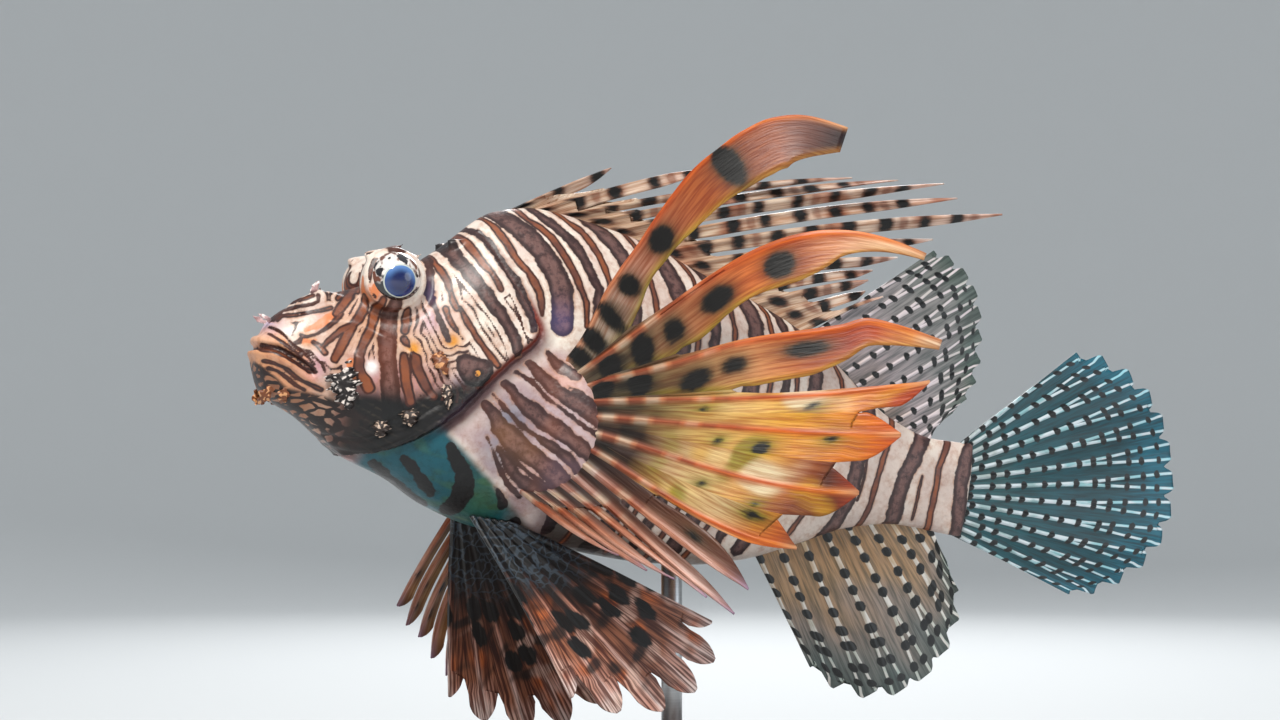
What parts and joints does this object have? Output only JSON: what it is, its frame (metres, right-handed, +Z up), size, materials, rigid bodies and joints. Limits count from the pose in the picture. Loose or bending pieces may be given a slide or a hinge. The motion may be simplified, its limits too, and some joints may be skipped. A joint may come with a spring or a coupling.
{
  "type": "red lionfish model",
  "caption": "Life-size still model of a striped lionfish with its long fins spread, held nose up on a rod above a flat display base.",
  "frame": {"origin": "middle of the stand's underside, on the surface that it stands on", "axes": "+Z up, +X from the snout towards the tail, -Y is the fish's left side"},
  "size_m": [0.3434, 0.2191, 0.2243],
  "materials": {
    "skin": "painted skin with cream and dark brown bars, satin",
    "fin_banded": "thin painted fin, orange rays and dark bands, satin",
    "fin_dark": "thin painted fin, dark root and pale streaked tips, satin",
    "fin_clear": "thin clouded fin with rows of dark spots, satin",
    "eye": "glossy painted eye",
    "stand_board": "dark stained, satin lacquer",
    "stand_steel": "brushed"
  },
  "bodies": {
    "root": {"head": "skin", "lower_jaw": "skin", "trunk": "skin", "tail_stalk": "skin", "eye_left": "eye", "eye_right": "eye", "pectoral_palm_left": "skin", "pectoral_palm_right": "skin", "pectoral_fin_left": "fin_banded", "pectoral_fin_right": "fin_banded", "pelvic_fin_left": "fin_dark", "pelvic_fin_right": "fin_dark", "dorsal_fin_spines": "fin_banded", "dorsal_fin_soft": "fin_clear", "anal_fin": "fin_clear", "tail_fin": "fin_clear", "stand_base": "stand_board", "stand_collar": "stand_steel", "stand_rod": "stand_steel"}
  },
  "joints": []
}
